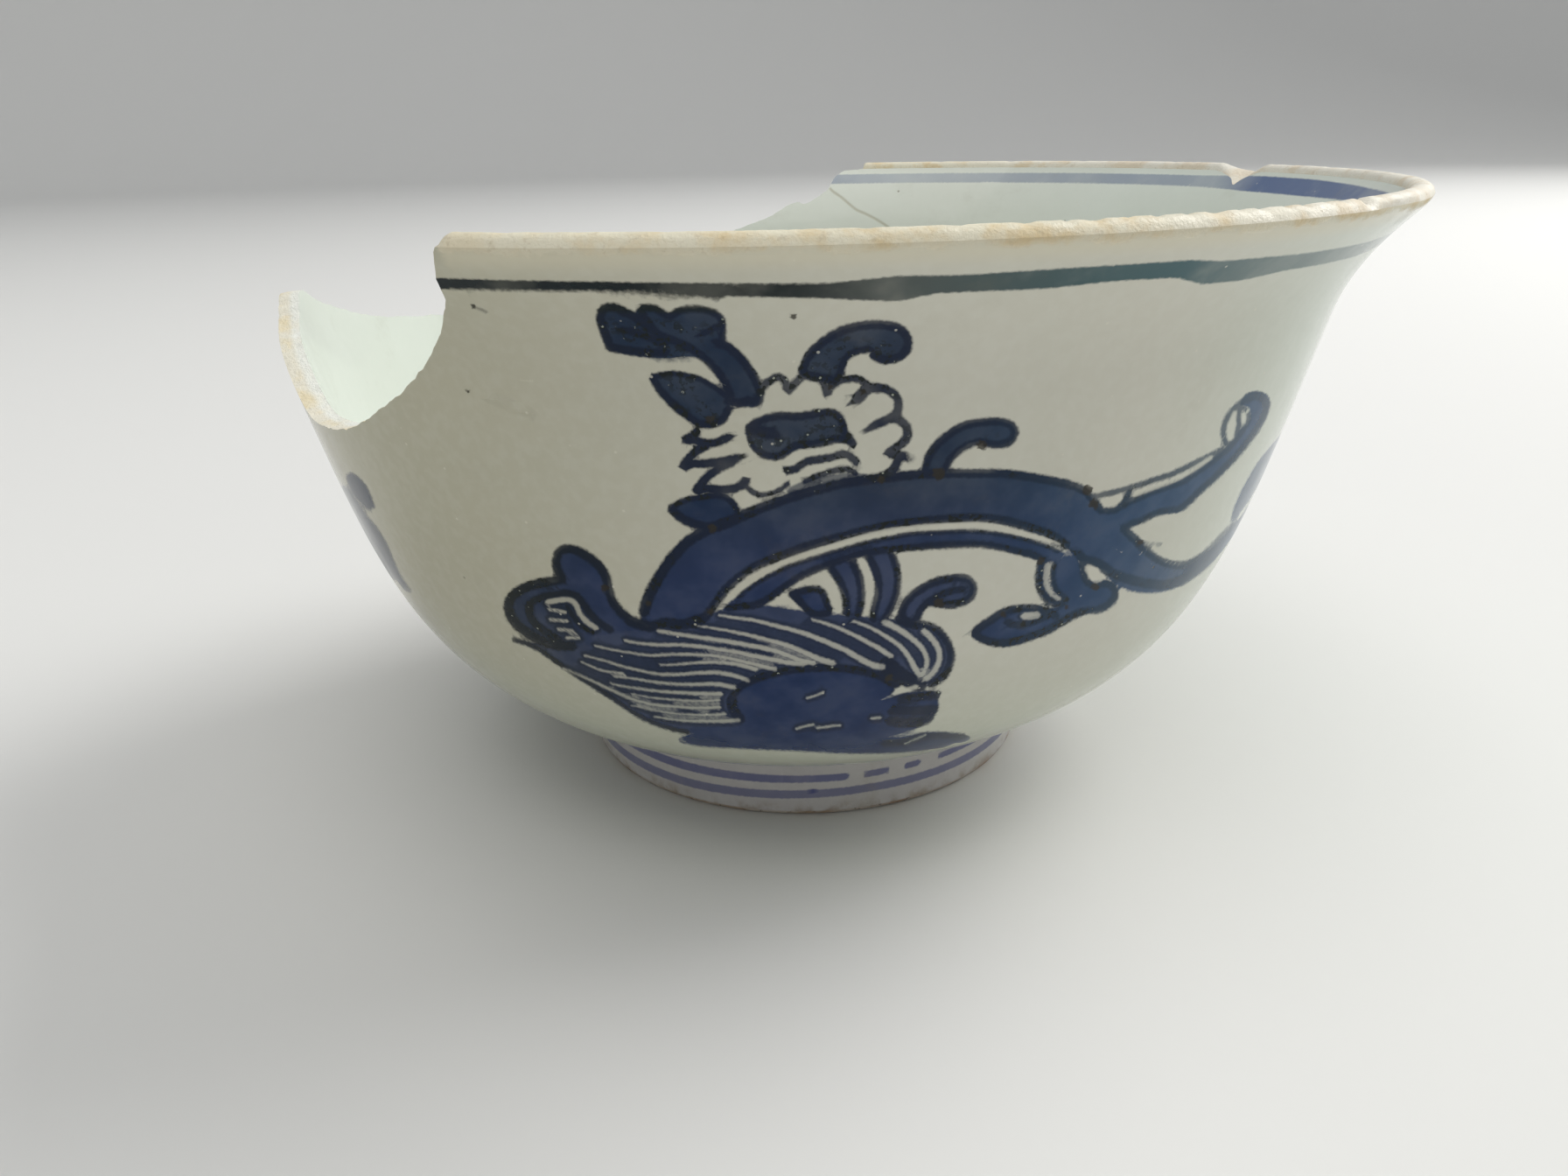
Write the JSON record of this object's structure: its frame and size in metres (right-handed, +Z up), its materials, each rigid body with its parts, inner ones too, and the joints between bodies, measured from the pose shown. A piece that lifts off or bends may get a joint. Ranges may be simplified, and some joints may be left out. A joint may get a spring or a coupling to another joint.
{
  "type": "broken porcelain bowl",
  "caption": "Round porcelain bowl with a flared lip and a foot ring, one side of its wall broken away, painted in blue, its lip notched and worn.",
  "frame": {"origin": "middle of the object's box, on the plane that the foot ring stands on. The bowl's turning axis stands 3.8 mm from it, towards the missing side", "axes": "+Z up along the axis the bowl was turned on, -Y towards the painted front, -X towards the missing side"},
  "size_m": [0.1343, 0.1407, 0.0727],
  "materials": {
    "glazed_porcelain": "clear glossy glaze over pale porcelain, with underglaze cobalt painting, a bare worn lip, a raw broken edge and an unglazed foot rim"
  },
  "bodies": {
    "root": {"bowl": "glazed_porcelain"}
  },
  "joints": []
}
